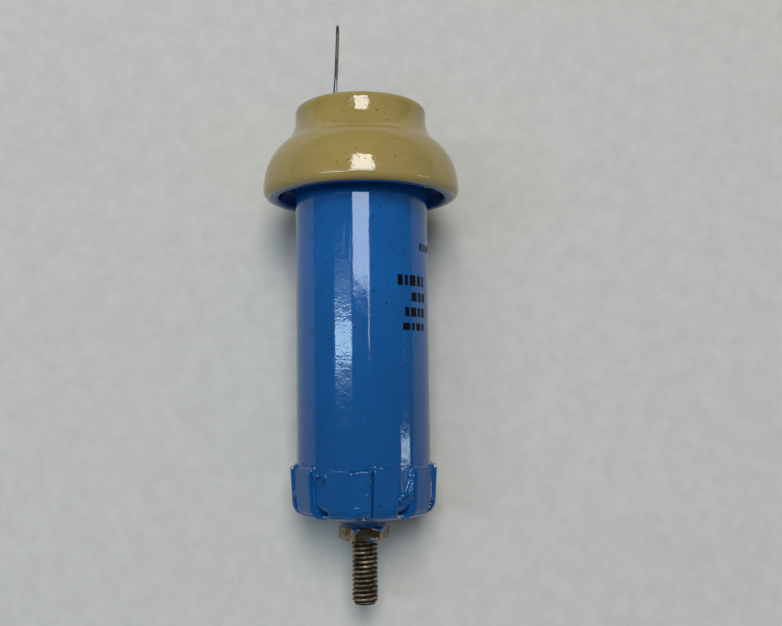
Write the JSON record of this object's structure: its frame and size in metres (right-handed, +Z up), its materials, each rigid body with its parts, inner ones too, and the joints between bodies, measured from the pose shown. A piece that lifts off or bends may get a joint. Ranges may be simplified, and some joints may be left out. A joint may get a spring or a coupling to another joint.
{
  "type": "ceramic pot capacitor",
  "caption": "High-voltage ceramic pot capacitor: blue lacquered tube with a flared glazed collar, fingered metal base cap, threaded mounting stud with washer and nut, flat terminal strap.",
  "frame": {"origin": "middle of the mounting face under the base cap, on the stud's axis", "axes": "+Z up the ceramic tube to its open mouth, the stud points to -Z, the terminal strap stands on the -X side of the bore"},
  "size_m": [0.031, 0.031, 0.0912],
  "materials": {
    "ceramic": "fired ceramic",
    "tan_glaze": "glossy glaze",
    "silver_film": "fired silver film",
    "blue_lacquer": "glossy lacquer",
    "tinned_cap": "tinned",
    "solder": "dull solder",
    "tarnished_brass": "tarnished",
    "washer_metal": "painted over in part",
    "strap_metal": "dark tarnish",
    "mark_ink": "printed ink"
  },
  "bodies": {
    "capacitor": {"ceramic_pot": "ceramic", "rim_glaze": "tan_glaze", "outer_electrode": "silver_film", "inner_electrode": "silver_film", "outer_lacquer": "blue_lacquer", "bore_lacquer": "blue_lacquer", "base_spider": "tinned_cap", "base_solder": "solder", "base_lacquer": "blue_lacquer", "mounting_stud": "tarnished_brass", "terminal_strap": "strap_metal", "strap_solder": "solder", "strap_lacquer": "blue_lacquer", "rating_marks": "mark_ink"},
    "washer": {"lock_washer": "washer_metal"},
    "nut": {"clamp_nut": "tarnished_brass"}
  },
  "joints": [
    {"name": "nut_travel", "type": "slide", "parent": "capacitor", "child": "washer", "axis": [0, 0, -1], "range_m": [0, 0.0084]},
    {"name": "nut_spin", "type": "hinge", "parent": "washer", "child": "nut", "pos_m": [0, 0, 0], "axis": [0, 0, -1], "range_deg": [0, 4325]}
  ],
  "couplings": [
    {"joint": "nut_spin", "follows": "nut_travel", "rad_per_m": 8976}
  ]
}
